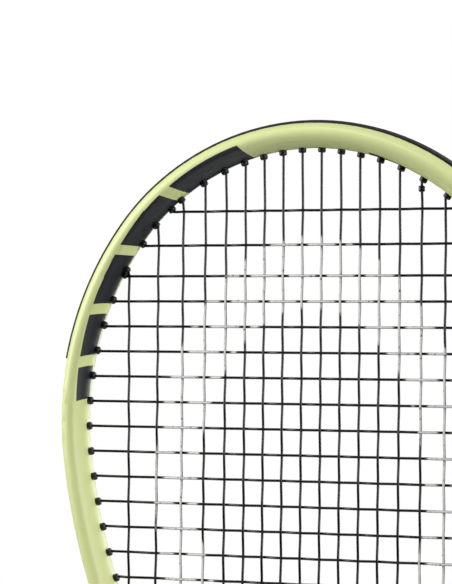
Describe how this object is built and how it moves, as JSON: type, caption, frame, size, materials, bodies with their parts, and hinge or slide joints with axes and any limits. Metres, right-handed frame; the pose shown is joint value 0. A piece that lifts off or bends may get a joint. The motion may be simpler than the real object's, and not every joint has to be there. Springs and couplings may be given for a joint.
{
  "type": "tennis racket with vibration dampener",
  "caption": "Strung adult tennis racket with a yellow-green hoop, black grommets and guard, wrapped grip and a round vibration dampener on the centre strings.",
  "frame": {"origin": "centre of the butt's end face, at the foot of the handle", "axes": "+Z from the butt to the tip of the hoop, +Y through the strings to the back face, so the face shown in front looks towards -Y, +X to the right as seen from the front"},
  "size_m": [0.2682, 0.033, 0.6853],
  "materials": {
    "frame": "satin clear lacquer over pale yellow-green paint on carbon fibre laminate",
    "guard": "moulded black nylon, dull",
    "grommets": "moulded black nylon, dull",
    "string": "extruded black co-polyester monofilament, smooth",
    "pallet": "moulded rigid polyurethane foam",
    "cap": "moulded black plastic, fine grain",
    "door": "moulded dark plastic, fine grain",
    "badge_plate": "brushed and anodised",
    "staple": "zinc-plated wire",
    "foam": "closed-cell foam",
    "weight": "dull cast metal",
    "grip": "soft polyurethane wrap with pin holes",
    "tape": "vinyl tape, satin",
    "collar": "matt black rubber",
    "dampener": "moulded silicone rubber, satin",
    "dampener_badge": "glossy, same yellow-green as the frame"
  },
  "bodies": {
    "racket": {"frame": "frame", "bumper_guard": "guard", "grommet_strip_left": "grommets", "grommet_strip_right": "grommets", "grommet_strip_bridge": "grommets", "main_string": "string", "cross_string": "string", "tie_off_knots": "string", "pallet_front": "pallet", "pallet_back": "pallet", "butt_cap": "cap", "cap_staples": "staple", "leg_plugs": "foam", "balance_weights": "weight", "base_grip": "grip", "finishing_tape": "tape", "rubber_collar": "collar"},
    "dampener": {"vibration_dampener": "dampener", "dampener_badge": "dampener_badge"},
    "door": {"trap_door": "door", "door_badge": "badge_plate"}
  },
  "joints": [
    {"name": "dampener_slide", "type": "slide", "parent": "racket", "child": "dampener", "axis": [0, 0, -1], "range_m": [0, 0.03]},
    {"name": "trap_door_hinge", "type": "hinge", "parent": "racket", "child": "door", "pos_m": [0, 0.00535, 0.0015], "axis": [1, 0, 0], "range_deg": [0, 95]}
  ]
}
